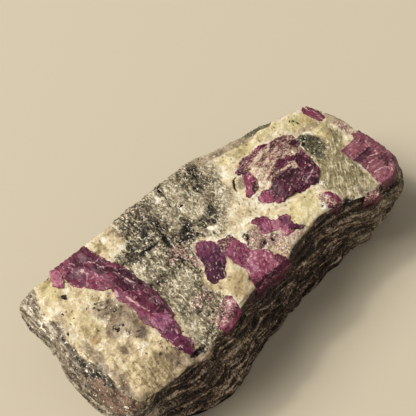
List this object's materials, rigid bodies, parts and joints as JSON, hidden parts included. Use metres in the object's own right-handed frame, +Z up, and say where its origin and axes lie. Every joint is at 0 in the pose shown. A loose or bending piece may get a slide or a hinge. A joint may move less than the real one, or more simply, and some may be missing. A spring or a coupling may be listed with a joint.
{
  "type": "ruby crystal specimen",
  "caption": "Broken bar of foliated feldspar and mica rock with purple-red ruby crystals set in its upper face, lying on its flat underside",
  "frame": {"origin": "centre of the bounding box in plan, on the flat underside", "axes": "+X along the bar, from the plain feldspar end to the crystal end; +Y from the front side to the back side; +Z up through the crystal face"},
  "size_m": [0.0558, 0.0266, 0.0155],
  "materials": {
    "matrix_rock": "rough broken rock with mica glints",
    "ruby": "glossy broken crystal"
  },
  "bodies": {
    "root": {"matrix_rock": "matrix_rock", "ruby_blade": "ruby", "ruby_back_corner": "ruby", "ruby_large": "ruby", "ruby_middle": "ruby", "ruby_upper_cluster": "ruby", "ruby_lower_cluster": "ruby", "ruby_front_chip": "ruby", "ruby_edge_chip": "ruby", "ruby_end": "ruby", "ruby_top_corner": "ruby"}
  },
  "joints": []
}
